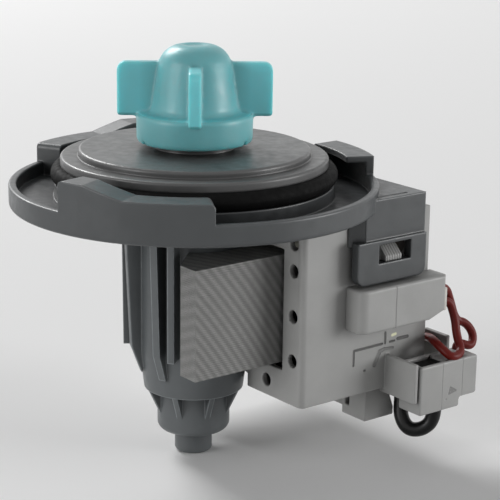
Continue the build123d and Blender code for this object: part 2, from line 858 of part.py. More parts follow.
def impeller():
    """Dome, skirt and vanes in one moulding, hollow for the lost-motion coupling."""
    cone = Pos(0, 0, (skirt_top + dome_top) / 2) * Cone(dome_foot_r, dome_top_r, dome_top - skirt_top)
    dome = fillet(ring_edges(cone, dome_top_r, dome_top), dome_round)
    skirt = disc(skirt_r, skirt_bottom, skirt_top)
    skirt = fillet(ring_edges(skirt, skirt_r, skirt_bottom) + ring_edges(skirt, skirt_r, skirt_top), skirt_round)
    body = dome + skirt
    outline = make_face(Plane.XZ * Polyline(
        (dimple_r, vane_bottom), (vane_r, vane_bottom), (vane_r, vane_top), (dimple_r, vane_top), close=True,
    ))
    plate = extrude(outline, vane_width / 2, both=True)
    tip = plate.edges().filter_by(Axis.Y).group_by(Axis.Z)[-1].sort_by(Axis.X)[-1]
    plate = fillet(tip, vane_round)
    for index in range(vane_count):
        body += Rot(0, 0, vane_phase + index * 360 / vane_count) * plate
    body -= disc(dimple_r, dome_top - dimple_depth, dome_top)
    body -= disc(skirt_r - skirt_wall, skirt_bottom, hub_cover_bottom + hub_cover)
    body -= disc(skirt_r - skirt_wall - snap_ledge, skirt_bottom, hollow_floor)
    body -= disc(hollow_r, hollow_floor, hollow_top)
    body -= disc(shaft_r + running_gap, hollow_top, shaft_top + tip_space)
    lug_middle = vane_phase + 180
    body += sector(
        lug_inner, hollow_r + overlap, lug_bottom, hollow_top + overlap,
        lug_middle - lug_angle, lug_middle + lug_angle,
    )
    for angle in snap_slot_angles:
        slot = block(
            skirt_r - skirt_wall - margin, skirt_r + margin, -snap_slot_width / 2, snap_slot_width / 2,
            skirt_bottom, skirt_bottom + snap_slot_height,
        )
        body -= Rot(0, 0, lug_middle + angle) * slot
    return body


def impeller_hub_cover():
    """The disc that closes the impeller's hollow from below."""
    outer = skirt_r - skirt_wall - bond_gap
    return pipe(shaft_r + running_gap, outer, hub_cover_bottom, hub_cover_bottom + hub_cover)


def drive_dog():
    """The hub pressed on the shaft, with the arm that drives the impeller's lug."""
    hub = pipe(shaft_r, dog_r, dog_bottom, dog_top)
    arm = sector(
        dog_r - overlap, dog_reach, dog_arm_bottom, dog_arm_top,
        vane_phase - dog_angle, vane_phase + dog_angle,
    )
    return hub + arm


def dog_dampers():
    """Rubber pads on both sides of the arm."""
    pads = []
    for side in (-1, 1):
        edges = sorted((vane_phase + side * dog_angle, vane_phase + side * (dog_angle + damper_angle)))
        pads.append(sector(dog_r + bond_gap, dog_reach, dog_arm_bottom, dog_arm_top, *edges))
    return pads


def save(name, shape):
    """One STEP file per node; a list is a group of separate solids."""
    solids = []
    for item in shape if isinstance(shape, list) else [shape]:
        solids.extend(item.solids())
    node = solids[0] if len(solids) == 1 else Compound(children=solids)
    node.label = name
    export_step(node, f"parts/{name}.step")


def main():
    os.makedirs("parts", exist_ok=True)
    save("bayonet_flange", bayonet_flange())
    save("rotor_can", rotor_can())
    save("front_plate", front_plate())
    save("seal_ring", seal_ring())
    save("front_bearing", front_bearing())
    save("front_bearing_ring", front_bearing_ring())
    save("rear_bearing", rear_bearing())
    save("rear_bearing_ring", rear_bearing_ring())
    save("shaft", shaft())
    save("rotor_magnet", rotor_magnet())
    save("rotor_core", rotor_core())
    save("thrust_washer_front", thrust_washer_front())
    save("thrust_washer_rear", thrust_washer_rear())
    save("stator_core", stator_core())
    save("core_rivets", core_rivets())
    save("coil_housing", coil_housing())
    save("bobbin_left", bobbin())
    save("bobbin_right", mirror(bobbin(), Plane.XZ))
    save("winding_left", winding())
    save("winding_right", mirror(winding(), Plane.XZ))
    save("terminal_cover", terminal_cover())
    save("terminal_pins", terminal_pins())
    save("thermal_cutout", thermal_cutout())
    save("plug_housing", plug_housing())
    save("plug_contacts", plug_contacts())
    save("red_coil_lead", wire("red_coil_lead", red_coil_route))
    save("red_plug_lead", wire("red_plug_lead", red_plug_route))
    save("black_lead", wire("black_lead", black_route))
    save("impeller", impeller())
    save("impeller_hub_cover", impeller_hub_cover())
    save("drive_dog", drive_dog())
    save("dog_dampers", dog_dampers())


main()
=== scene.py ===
"""Dresses the dishwasher drain pump's solids: finishes, soft forms, leads, stage and camera."""

import bmesh
import bpy
import math
from mathutils import Matrix, Vector


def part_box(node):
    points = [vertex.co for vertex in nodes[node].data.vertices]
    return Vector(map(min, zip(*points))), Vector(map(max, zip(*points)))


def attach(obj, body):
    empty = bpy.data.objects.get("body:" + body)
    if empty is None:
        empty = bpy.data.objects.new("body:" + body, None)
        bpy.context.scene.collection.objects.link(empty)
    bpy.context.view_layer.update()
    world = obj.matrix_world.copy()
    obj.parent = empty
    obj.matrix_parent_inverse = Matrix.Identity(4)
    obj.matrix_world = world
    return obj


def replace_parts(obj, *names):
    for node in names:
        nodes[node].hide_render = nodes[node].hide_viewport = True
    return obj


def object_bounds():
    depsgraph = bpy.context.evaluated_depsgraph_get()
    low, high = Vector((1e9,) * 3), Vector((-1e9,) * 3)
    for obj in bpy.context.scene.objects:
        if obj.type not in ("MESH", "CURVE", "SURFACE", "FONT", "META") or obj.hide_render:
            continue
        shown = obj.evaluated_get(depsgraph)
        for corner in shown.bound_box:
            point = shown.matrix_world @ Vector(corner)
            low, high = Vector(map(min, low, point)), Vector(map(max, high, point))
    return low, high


bl_info = {
    "name": "Drain Pump Dressing",
    "version": (1, 0, 0),
    "blender": (4, 5, 0),
    "location": "View3D > Sidebar > Drain Pump",
    "description": "Finishes the drain pump's mouldings, core, coils, leads and impeller",
    "category": "Object",
}

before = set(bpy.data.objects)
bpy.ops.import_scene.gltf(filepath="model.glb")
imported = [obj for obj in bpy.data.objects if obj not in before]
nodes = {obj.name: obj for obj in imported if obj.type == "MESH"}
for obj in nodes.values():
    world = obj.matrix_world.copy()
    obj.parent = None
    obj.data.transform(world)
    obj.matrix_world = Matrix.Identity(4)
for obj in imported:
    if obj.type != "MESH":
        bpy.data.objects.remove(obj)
cad_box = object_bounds()
mm = 0.001
mm_per_metre = 1000.0


# Finishes

coat_roughness = 0.2
# How deep light goes into clear plastic, and the shares of that for red, green and blue
clear_depth = 3.5 * mm
clear_shares = (0.25, 1.0, 1.0)
# Nearly all values of a noise texture lie between these two
noise_floor = 0.3
noise_ceiling = 0.7
# Rays that the edge rounding and the painted shade in recesses are worked out from
surface_samples = 16
# Cosines of the angle between a face and its rounded normal: on a flat, and at the middle of an edge
flat_cosine = 0.995
edge_cosine = 0.85
# Half the width over which a moulded stroke fades out, in millimetres
stroke_fade = 0.12
# Sizes of the spots of a moulding's cloudiness, tool grain, painted edge highlights and gloss
cloud_size = 9 * mm
grain_size = 0.35 * mm
highlight_patch_size = 1.4 * mm
gloss_size = 2.2 * mm
# How many times deeper the cloudiness is than the grain
cloud_relief = 4
# Size of the fine scratches on machined metal
scratch_size = mm / 1.5


def finish_shader(name, roughness, metallic=0.0, coat=0.0, clear=0.0, specular=0.5):
    """A new material with its principled shader's plain numbers set."""
    material = bpy.data.materials.new(name)
    material.use_nodes = True
    shader = material.node_tree.nodes["Principled BSDF"]
    shader.inputs["Roughness"].default_value = roughness
    shader.inputs["Metallic"].default_value = metallic
    shader.inputs["Coat Weight"].default_value = coat
    shader.inputs["Coat Roughness"].default_value = coat_roughness
    shader.inputs["Specular IOR Level"].default_value = specular
    shader.inputs["Subsurface Weight"].default_value = clear
    shader.inputs["Subsurface Scale"].default_value = clear_depth
    shader.inputs["Subsurface Radius"].default_value = clear_shares
    return material


def add(tree, kind, **values):
    """A node in the tree, with its attributes set."""
    node = tree.nodes.new(kind)
    for key, value in values.items():
        setattr(node, key, value)
    return node


def coordinates(tree):
    """Places on the object, in the frame that all pieces share."""
    return add(tree, "ShaderNodeTexCoord").outputs["Object"]


def speckle(tree, size, detail=3.0, squeeze=(1.0, 1.0, 1.0)):
    """Uneven noise whose spots have this size, in metres, made finer along each axis by the squeeze."""
    mapping = add(tree, "ShaderNodeMapping")
    mapping.inputs["Scale"].default_value = squeeze
    tree.links.new(coordinates(tree), mapping.inputs["Vector"])
    noise = add(tree, "ShaderNodeTexNoise")
    noise.inputs["Scale"].default_value = 1.0 / size
    noise.inputs["Detail"].default_value = detail
    tree.links.new(mapping.outputs["Vector"], noise.inputs["Vector"])
    return noise.outputs["Fac"]


def arithmetic(tree, operation, first, second=None):
    """One sum on node outputs or plain numbers."""
    node = add(tree, "ShaderNodeMath", operation=operation)
    for socket, value in zip(node.inputs, (first, second)):
        if value is None:
            continue
        if isinstance(value, (int, float)):
            socket.default_value = value
        else:
            tree.links.new(value, socket)
    return node.outputs["Value"]


def vector_sum(tree, operation, first, second=None, output="Vector"):
    """One sum on a vector output and, where it takes two, another output or a fixed vector."""
    node = add(tree, "ShaderNodeVectorMath", operation=operation)
    tree.links.new(first, node.inputs[0])
    if isinstance(second, bpy.types.NodeSocket):
        tree.links.new(second, node.inputs[1])
    elif second is not None:
        node.inputs[1].default_value = second
    return node.outputs[output]


def split(tree, vector):
    """The X, Y and Z of a vector output."""
    node = add(tree, "ShaderNodeSeparateXYZ")
    tree.links.new(vector, node.inputs["Vector"])
    return node.outputs["X"], node.outputs["Y"], node.outputs["Z"]


def ramp(tree, value, start, end, low=0.0, high=1.0):
    """An output that runs from low to high while the value runs from start to end."""
    node = add(tree, "ShaderNodeMapRange")
    node.inputs["From Min"].default_value = start
    node.inputs["From Max"].default_value = end
    node.inputs["To Min"].default_value = low
    node.inputs["To Max"].default_value = high
    tree.links.new(value, node.inputs["Value"])
    return node.outputs["Result"]


def spread(tree, noise, low, high):
    """A noise output stretched to the range from low to high."""
    return ramp(tree, noise, noise_floor, noise_ceiling, low, high)


def blend_colours(tree, share, first, second):
    """The first colour where share is 0, and the second where it is 1."""
    node = add(tree, "ShaderNodeMix", data_type="RGBA")
    tree.links.new(share, node.inputs["Factor"])
    for socket, colour in ((node.inputs["A"], first), (node.inputs["B"], second)):
        if isinstance(colour, bpy.types.NodeSocket):
            tree.links.new(colour, socket)
        else:
            socket.default_value = (*colour[:3], 1.0)
    return node.outputs["Result"]


def shaded(colour, factor):
    """A colour made darker or lighter by a factor, and never lighter than white."""
    return tuple(min(1.0, channel * factor) for channel in colour[:3])


def two_tone(tree, noise, colour, dark, light):
    """The colour clouded by a noise output, between a darker and a lighter factor of it."""
    return blend_colours(tree, spread(tree, noise, 0.0, 1.0), shaded(colour, dark), shaded(colour, light))


def relief(tree, height, depth, strength=1.0, under=None):
    """A bump of this depth, in metres, over another bump."""
    bump = add(tree, "ShaderNodeBump")
    bump.inputs["Distance"].default_value = depth
    bump.inputs["Strength"].default_value = strength
    tree.links.new(height, bump.inputs["Height"])
    if under is not None:
        tree.links.new(under, bump.inputs["Normal"])
    return bump.outputs["Normal"]


def plug_in(tree, socket, value):
    """Joins an output to one of the shader's inputs."""
    tree.links.new(value, tree.nodes["Principled BSDF"].inputs[socket])


def uneven_gloss(tree, noise, roughness, smoother, rougher):
    """The shader's roughness, less or more by these amounts from place to place."""
    plug_in(tree, "Roughness", spread(tree, noise, roughness - smoother, roughness + rougher))


def strokes(tree, lines, from_y, to_y):
    """1 along lines on faces of the near side between two distances from the shaft, and 0 elsewhere.

    A line is x0, z0, x1, z1 and its half width, and all is in millimetres.
    """
    flat = vector_sum(tree, "MULTIPLY", coordinates(tree), (mm_per_metre, 0.0, mm_per_metre))
    total = None
    for x0, z0, x1, z1, half_width in lines:
        run = Vector((x1 - x0, 0.0, z1 - z0))
        from_start = vector_sum(tree, "SUBTRACT", flat, (x0, 0.0, z0))
        share = vector_sum(tree, "DOT_PRODUCT", from_start, tuple(run / run.length_squared), "Value")
        share = arithmetic(tree, "MINIMUM", arithmetic(tree, "MAXIMUM", share, 0.0), 1.0)
        line = add(tree, "ShaderNodeVectorMath", operation="SCALE")
        line.inputs[0].default_value = tuple(run)
        tree.links.new(share, line.inputs["Scale"])
        off = vector_sum(tree, "SUBTRACT", from_start, line.outputs["Vector"])
        distance = vector_sum(tree, "LENGTH", off, output="Value")
        mask = ramp(tree, distance, half_width + stroke_fade, half_width - stroke_fade)
        total = mask if total is None else arithmetic(tree, "MAXIMUM", total, mask)
    y = split(tree, coordinates(tree))[1]
    outside = arithmetic(tree, "LESS_THAN", y, -from_y * mm)
    inside = arithmetic(tree, "GREATER_THAN", y, -to_y * mm)
    return arithmetic(tree, "MULTIPLY", total, arithmetic(tree, "MULTIPLY", outside, inside))


def round_edges(tree, radius):
    """The normal of edges rounded to this radius, in metres, and how near a place is to such an edge."""
    rounded = add(tree, "ShaderNodeBevel", samples=surface_samples)
    rounded.inputs["Radius"].default_value = radius
    true_normal = add(tree, "ShaderNodeNewGeometry").outputs["True Normal"]
    likeness = vector_sum(tree, "DOT_PRODUCT", rounded.outputs["Normal"], true_normal, "Value")
    return rounded.outputs["Normal"], ramp(tree, likeness, flat_cosine, edge_cosine)


def paint_recess_shade(tree, base, reach, shade_colour, alone):
    """The base colour, turning to a painted shade colour where walls within reach, in metres, stand close
    round a place.

    Only the piece's own walls count if alone is set.
    """
    openness = add(tree, "ShaderNodeAmbientOcclusion", samples=surface_samples, only_local=alone)
    openness.inputs["Distance"].default_value = reach
    return blend_colours(tree, openness.outputs["AO"], shade_colour, base)


def moulded(
    name, colour, roughness, grain=0.02, clear=0.0, specular=0.5, marks=(), edge=0.0, edge_light=1.0, recess=None,
):
    """Moulded plastic: fine grain from the tool, of this depth in millimetres, and a slight cloudiness.

    A mark is its lines, the distances that it lies between, its tint and its depth in millimetres.
    Edges are rounded to the edge radius, in millimetres, and painted lighter there by a factor, as a painted
    highlight.
    Recesses are painted darker as painted shade, given by their width, in millimetres, the factor of the
    colour in that shade, and whether only the piece's own walls count.
    """
    material = finish_shader(name, roughness, clear=clear, specular=specular)
    tree = material.node_tree
    cloud = speckle(tree, cloud_size, detail=4.0)
    base = two_tone(tree, cloud, colour, dark=0.94, light=1.05)
    rounded = None
    if edge:
        rounded, near_edge = round_edges(tree, edge * mm)
        # Painted highlight: the base colour turns lighter along rounded edges, in patches.
        highlight_patches = spread(tree, speckle(tree, highlight_patch_size), low=0.5, high=1.0)
        edge_highlight = arithmetic(tree, "MULTIPLY", near_edge, highlight_patches)
        base = blend_colours(tree, edge_highlight, base, shaded(colour, edge_light))
    # Painted shade: the base colour turns darker in recesses.
    if recess:
        width, share, alone = recess
        base = paint_recess_shade(tree, base, width * mm, shaded(colour, share), alone)
    fine = relief(tree, speckle(tree, grain_size, detail=2.0), depth=grain * mm, strength=0.6, under=rounded)
    surface = relief(tree, cloud, depth=cloud_relief * grain * mm, strength=0.5, under=fine)
    for lines, (from_y, to_y), tint, depth in marks:
        mask = strokes(tree, lines, from_y, to_y)
        base = blend_colours(tree, mask, base, tint)
        surface = relief(tree, arithmetic(tree, "MULTIPLY", mask, -1.0), depth * mm, under=surface)
    plug_in(tree, "Base Color", base)
    uneven_gloss(tree, speckle(tree, gloss_size), roughness, smoother=0.06, rougher=0.08)
    plug_in(tree, "Normal", surface)
    return material


def rubbery(name, colour, roughness):
    """Moulded rubber with a little bloom on it."""
    material = finish_shader(name, roughness, specular=0.06)
    tree = material.node_tree
    bloom = speckle(tree, 3.5 * mm, detail=5.0)
    plug_in(tree, "Base Color", two_tone(tree, bloom, colour, dark=1.0, light=1.6))
    uneven_gloss(tree, speckle(tree, 1.1 * mm), roughness, smoother=0.12, rougher=0.1)
    plug_in(tree, "Normal", relief(tree, speckle(tree, 0.5 * mm), depth=0.03 * mm, strength=0.5))
    return material


def metal(name, colour, roughness, squeeze=(1.0, 1.0, 1.0)):
    """Machined metal with fine scratches, closer together along each axis by the squeeze."""
    material = finish_shader(name, roughness, metallic=1.0)
    tree = material.node_tree
    scratches = speckle(tree, scratch_size, detail=4.0, squeeze=squeeze)
    plug_in(tree, "Base Color", two_tone(tree, scratches, colour, dark=0.85, light=1.0))
    uneven_gloss(tree, scratches, roughness, smoother=0.08, rougher=0.1)
    plug_in(tree, "Normal", relief(tree, scratches, depth=0.01 * mm, strength=0.5))
    return material


# Half the core's width across both legs, in millimetres
core_half_y = 22.5
# The bands of tone over the sheets, in bands per millimetre along X, along Z, for X times Z, and inwards,
# and the share of a band that they start at
band_x = -0.379
band_z = -0.323
band_xz = 0.0034
band_inward = -0.16
band_start = 0.52
# How strong the bands are on the long side, and by how much less on the tip, which ends at this X
band_strength = 0.5
band_loss_at_tip = -0.2
tip_end_x = -15.7


def sheet_steel(name, colour):
    """Punched sheet edges: grey, uneven from sheet to sheet, with slanting bands of tone over them.

    The bands run down to both sides of the near corner of the leg, and spread a little away from it.
    """
    material = finish_shader(name, 0.5, metallic=0.3)
    tree = material.node_tree
    places = vector_sum(tree, "MULTIPLY", coordinates(tree), (mm_per_metre,) * 3)
    x, y, z = split(tree, places)
    inward = arithmetic(tree, "SUBTRACT", core_half_y, arithmetic(tree, "ABSOLUTE", y))
    both = arithmetic(tree, "MULTIPLY", x, z)
    phase = arithmetic(tree, "MULTIPLY", x, band_x)
    for place, rate in ((z, band_z), (both, band_xz), (inward, band_inward)):
        phase = arithmetic(tree, "ADD", phase, arithmetic(tree, "MULTIPLY", place, rate))
    phase = arithmetic(tree, "ADD", phase, band_start)
    wave = arithmetic(tree, "COSINE", arithmetic(tree, "MULTIPLY", phase, 2 * math.pi))
    at_tip = arithmetic(tree, "LESS_THAN", x, tip_end_x)
    loss = arithmetic(tree, "MULTIPLY", at_tip, band_loss_at_tip)
    strength = arithmetic(tree, "ADD", loss, band_strength)
    bands = arithmetic(tree, "ADD", arithmetic(tree, "MULTIPLY", wave, strength), 0.5)
    streak = speckle(tree, 0.6 * mm, detail=5.0)
    base = blend_colours(tree, bands, shaded(colour, 0.76), shaded(colour, 1.2))
    base = blend_colours(tree, spread(tree, streak, low=0.0, high=0.3), base, shaded(colour, 0.85))
    plug_in(tree, "Base Color", base)
    plug_in(tree, "Roughness", spread(tree, streak, low=0.42, high=0.62))
    plug_in(tree, "Normal", relief(tree, streak, depth=0.02 * mm, strength=0.4))
    return material


def wound_copper(name, colour):
    """Enamelled wire: copper with a slight change of tone from turn to turn."""
    material = finish_shader(name, 0.3, metallic=0.8, coat=0.4)
    tree = material.node_tree
    tone = speckle(tree, 1.2 * mm)
    plug_in(tree, "Base Color", two_tone(tree, tone, colour, dark=0.7, light=1.2))
    plug_in(tree, "Roughness", spread(tree, tone, low=0.22, high=0.4))
    plug_in(tree, "Normal", relief(tree, speckle(tree, 0.3 * mm), depth=0.01 * mm, strength=0.4))
    return material


def clothe(name, material):
    """Gives a CAD node its material."""
    node = nodes[name]
    node.data.materials.clear()
    node.data.materials.append(material)
    return node


def soften(piece, width):
    """Rounds a piece's sharp edges with modifiers, so its mesh stays as it is."""
    weld = piece.modifiers.new("join_faces", "WELD")
    weld.merge_threshold = 0.0005 * mm
    flatten = piece.modifiers.new("whole_flats", "DECIMATE")
    flatten.decimate_type = "DISSOLVE"
    flatten.angle_limit = math.radians(0.2)
    bevel = piece.modifiers.new("rounded_edges", "BEVEL")
    bevel.width = width
    bevel.segments = 3
    bevel.limit_method = "ANGLE"
    bevel.angle_limit = math.radians(40.0)
    bevel.harden_normals = True
    bevel.use_clamp_overlap = False
    return piece


def melt(piece, cell, rounds):
    """Joins a piece's shapes into one even mesh and eases its edges and roots, as in a soft moulding."""
    grid = piece.modifiers.new("even_faces", "REMESH")
    grid.mode = "VOXEL"
    grid.voxel_size = cell
    grid.use_smooth_shade = True
    ease = piece.modifiers.new("eased_roots", "SMOOTH")
    ease.factor = 0.5
    ease.iterations = rounds
    return piece


# Shapes


def new_piece(name, shape, body, slot, *materials):
    """An object from a bmesh, riding on a CAD body."""
    data = bpy.data.meshes.new(name)
    shape.to_mesh(data)
    shape.free()
    for material in materials:
        data.materials.append(material)
    piece = bpy.data.objects.new(name, data)
    bpy.context.scene.collection.objects.link(piece)
    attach(piece, body)
    return piece


def smooth(piece, angle):
    """Smooth shading that keeps edges sharper than the angle, in degrees."""
    data = piece.data
    data.shade_smooth()
    data.set_sharp_from_angle(angle=math.radians(angle))
    return piece


def polar(radius, angle, centre=(0.0, 0.0)):
    """A point on a circle round a centre, at an angle in degrees."""
    turned = math.radians(angle)
    return centre[0] + radius * math.cos(turned), centre[1] + radius * math.sin(turned)


def arc(radius, start, end, steps, centre=(0.0, 0.0)):
    """Points on a circle round a centre, from one angle to another, in degrees."""
    return [polar(radius, start + (end - start) * index / steps, centre) for index in range(steps + 1)]


def circle(radius, steps=96):
    """Points all round the shaft axis."""
    return arc(radius, 0.0, 360.0 * (steps - 1) / steps, steps - 1)


def inset(outline, depth):
    """A counter-clockwise outline, moved inwards at each corner along the mean of its two sides."""
    moved = []
    for before, here, after in zip(outline[-1:] + outline[:-1], outline, outline[1:] + outline[:1]):
        first = (Vector(here) - Vector(before)).normalized()
        second = (Vector(after) - Vector(here)).normalized()
        inward = Vector((-first.y - second.y, first.x + second.x))
        step = depth / max(0.5, inward.length / 2)
        moved.append(tuple(Vector(here) + inward.normalized() * step))
    return moved


def add_rings(shape, rings):
    """A closed skin through rings of points with as many points each, in millimetres, with flat ends."""
    loops = [[shape.verts.new((x * mm, y * mm, z * mm)) for x, y, z in ring] for ring in rings]
    faces = [shape.faces.new(reversed(loops[0])), shape.faces.new(loops[-1])]
    for low, high in zip(loops, loops[1:]):
        for index in range(len(low)):
            follow = (index + 1) % len(low)
            faces.append(shape.faces.new((low[index], low[follow], high[follow], high[index])))
    bmesh.ops.recalc_face_normals(shape, faces=faces)
    return shape


def add_stack(shape, outlines_and_levels):
    """A closed skin through outlines one above the other."""
    return add_rings(shape, [[(x, y, level) for x, y in outline] for outline, level in outlines_and_levels])


def stacked(outlines_and_levels):
    """A new shape through outlines one above the other."""
    return add_stack(bmesh.new(), outlines_and_levels)


def coil_turns(low, high, pitch):
    """A coil along X between two corners, its outer layer ridged turn by turn, round a closed middle."""
    corner_r = 2.0
    corner_steps = 4
    groove = -0.35
    ridge = ((0.0, groove), (0.15, -0.13), (0.5, 0.0), (0.85, -0.13))
    flat_y = (high.y - low.y) / 2 - corner_r
    flat_z = (high.z - low.z) / 2 - corner_r
    middle = (low + high) / 2
    loop = []
    for quadrant, (side_y, side_z) in enumerate(((1, 1), (-1, 1), (-1, -1), (1, -1))):
        for step in range(corner_steps + 1):
            along, across = polar(1.0, 90 * quadrant + 90 / corner_steps * step)
            loop.append((side_y * flat_y, side_z * flat_z, along, across))
    count = round((high.x - low.x) / pitch)
    turn = (high.x - low.x) / count
    sections = []
    for index in range(count):
        for share, height in ridge:
            sections.append((low.x + (index + share) * turn, corner_r + height * turn))
    sections.append((high.x, corner_r + groove * turn))
    rings = [
        [(x, middle.y + y + radius * along, middle.z + z + radius * across) for y, z, along, across in loop]
        for x, radius in sections
    ]
    return add_rings(bmesh.new(), rings)


# The tongues that the impeller's skirt ends in, each from one angle to another, in degrees
skirt_tongues = ((-5.0, 113.0), (117.0, 171.0), (175.0, 293.0), (297.0, 351.0))
tongue_steps = 30
# The impeller's vanes: how many, the first one's angle in degrees and half their thickness in millimetres
vane_count = 4
first_vane_angle = 54.0
vane_half = 1.4
# The vanes are painted lighter, as painted light shining through them, from the first radius to the second,
# above the skirt's top, in millimetres
dome_edge_r = 9.0
glow_full_r = 12.5
skirt_top_z = 20.4


def impeller_moulding():
    """Dome, skirt and vanes as closed shapes that run into each other, for the modifiers to join."""
    bore = [(6.9, 28.6), (7.8, 18.9), (10.6, 18.9), (10.6, 16.8), (11.4, 16.8), (11.4, 14.9)]
    skirt = [(13.0, 14.9), (13.05, 19.4), (13.0, 20.1), (12.6, 20.5)]
    root = [(11.0, 20.6), (10.2, 20.9), (9.7, 21.8)]
    slope = [(8.3, 31.0)]
    crown_centre = (2.96, 30.25)
    crown = [polar(5.3, angle, crown_centre) for angle in (12, 22, 34, 46, 58, 70, 80, 88)]
    dimple = [(2.6, 35.5), (2.1, 35.2), (0.5, 35.1)]
    shape = bmesh.new()
    add_stack(shape, [(circle(r), z) for r, z in bore + skirt + root + slope + crown + dimple])
    for start, end in skirt_tongues:
        tongue = arc(12.95, start, end, tongue_steps) + arc(11.45, end, start, tongue_steps)
        tongue_end = arc(12.6, start, end, tongue_steps) + arc(11.6, end, start, tongue_steps)
        add_stack(shape, [(tongue_end, 14.0), (tongue, 14.4), (tongue, 15.3)])
    corner = arc(1.9, 0, 90, 6, (15.4, 29.9))
    side = [(8.2, 19.7), (16.9, 19.7), (17.3, 20.1)] + corner + [(7.6, 31.8)]
    for index in range(vane_count):
        turn = Matrix.Rotation(math.radians(first_vane_angle + 360.0 / vane_count * index), 3, "Z")
        sides = [[turn @ Vector((r, y, z)) for r, z in side] for y in (-vane_half, vane_half)]
        add_rings(shape, sides)
    return shape


def lead(name, node, points, radius, material, slot_name):
    """An insulated lead: a smooth NURBS line through its route's control points."""
    curve = bpy.data.curves.new(name, "CURVE")
    curve.dimensions = "3D"
    curve.bevel_depth = radius
    curve.bevel_resolution = 6
    curve.resolution_u = 24
    curve.use_fill_caps = True
    spline = curve.splines.new("NURBS")
    spline.points.add(len(points) - 1)
    for point, place in zip(spline.points, points):
        point.co = (*place, 1.0)
    spline.order_u = 3
    spline.use_endpoint_u = True
    curve.materials.append(material)
    piece = bpy.data.objects.new(name, curve)
    bpy.context.scene.collection.objects.link(piece)
    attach(piece, "housing")
    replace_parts(piece, node)
    return piece


# Settings that a user would change


class PumpSizes(bpy.types.PropertyGroup):
    """Sizes of the dressing's small forms"""

    edge_round: bpy.props.FloatProperty(
        name="Edge rounding", description="Rounding of the edges of housing, webs and rubber entry",
        default=0.3 * mm, unit="LENGTH", subtype="DISTANCE", precision=5,
    )
    sheet: bpy.props.FloatProperty(
        name="Core sheet", description="Thickness of one sheet of the laminated core",
        default=0.5 * mm, unit="LENGTH", subtype="DISTANCE", precision=5,
    )
    turn: bpy.props.FloatProperty(
        name="Coil wire", description="Thickness of one turn of the coils' wire",
        default=0.7 * mm, unit="LENGTH", subtype="DISTANCE", precision=5,
    )
    impeller_cell: bpy.props.FloatProperty(
        name="Impeller cell", description="Cell of the even mesh that eases the impeller's roots",
        default=0.28 * mm, unit="LENGTH", subtype="DISTANCE", precision=5,
    )
    lead: bpy.props.FloatProperty(
        name="Lead radius", description="Radius of the red leads; the black one is thicker in proportion",
        default=1.0 * mm, unit="LENGTH", subtype="DISTANCE", precision=5,
    )


class PumpColours(bpy.types.PropertyGroup):
    """Colours of the pieces that are seen"""

    flange: bpy.props.FloatVectorProperty(
        name="Flange grey", description="Colour of the flange and its hood",
        subtype="COLOR", size=3, min=0, max=1, default=(0.067, 0.072, 0.075),
    )
    can: bpy.props.FloatVectorProperty(
        name="Can grey", description="Colour of the rotor can",
        subtype="COLOR", size=3, min=0, max=1, default=(0.112, 0.122, 0.127),
    )
    plate: bpy.props.FloatVectorProperty(
        name="Front plate grey", description="Colour of the stepped front plate",
        subtype="COLOR", size=3, min=0, max=1, default=(0.098, 0.099, 0.099),
    )
    housing: bpy.props.FloatVectorProperty(
        name="Housing white", description="Colour of the coil housing, the terminal cover and the plug",
        subtype="COLOR", size=3, min=0, max=1, default=(0.36, 0.36, 0.353),
    )
    impeller: bpy.props.FloatVectorProperty(
        name="Impeller teal", description="Colour of the impeller",
        subtype="COLOR", size=3, min=0, max=1, default=(0.165, 0.47, 0.50),
    )
    red: bpy.props.FloatVectorProperty(
        name="Red lead", description="Colour of the two red leads",
        subtype="COLOR", size=3, min=0, max=1, default=(0.130, 0.008, 0.005),
    )


def sizes():
    """The scene's sizes."""
    return bpy.context.scene.pump_sizes


def colours():
    """The scene's colours."""
    return bpy.context.scene.pump_colours


# Pieces

deep_black = (0.004, 0.004, 0.004)
# How much rounder the plug's edges are than the housing's
plug_round_ratio = 1.6


class PUMP_OT_flange(bpy.types.Operator):
    """Grey bayonet flange with its hood and the webs under it, and the front plate"""

    bl_idname = "pump.flange"
    bl_label = "Flange and front plate"

    def execute(self, context):
        grey = moulded(
            "flange_plastic", colours().flange, 0.36,
            edge=0.6, edge_light=1.7, recess=(9.0, 0.15, False),
        )
        clothe("bayonet_flange", grey)
        web_outline = [(22.34, -33.36), (24.4, -31.4), (24.4, -30.62), (19.3, -30.62)]
        for name, side in (("near_hood_web", 1), ("far_hood_web", -1)):
            outline = [(x, side * y) for x, y in web_outline]
            web = new_piece(name, stacked([(outline, -7.4), (outline, 0.3)]), "housing", "grey_plastic", grey)
            soften(web, sizes().edge_round)
        lighter_grey = moulded(
            "front_plate_plastic", colours().plate, 0.36, grain=0.01,
            edge=0.5, edge_light=1.6, recess=(4.0, 0.15, False),
        )
        clothe("front_plate", lighter_grey)
        return {"FINISHED"}


class PUMP_OT_can(bpy.types.Operator):
    """Rotor can with its fins, gussets and end nub"""

    bl_idname = "pump.can"
    bl_label = "Rotor can"

    def execute(self, context):
        grey = moulded(
            "can_plastic", colours().can, 0.37, grain=0.006,
            edge=0.6, edge_light=2.6, recess=(8.0, 0.12, True),
        )
        clothe("rotor_can", grey)
        return {"FINISHED"}


class PUMP_OT_seals(bpy.types.Operator):
    """Black seal ring, the rubber rings round the bearings and the dog's dampers"""

    bl_idname = "pump.seals"
    bl_label = "Seal and rubber rings"

    def execute(self, context):
        clothe("seal_ring", rubbery("seal_rubber", deep_black, 0.65))
        ring = rubbery("bearing_rubber", (0.02, 0.02, 0.02), 0.7)
        for name in ("front_bearing_ring", "rear_bearing_ring", "dog_dampers"):
            clothe(name, ring)
        return {"FINISHED"}


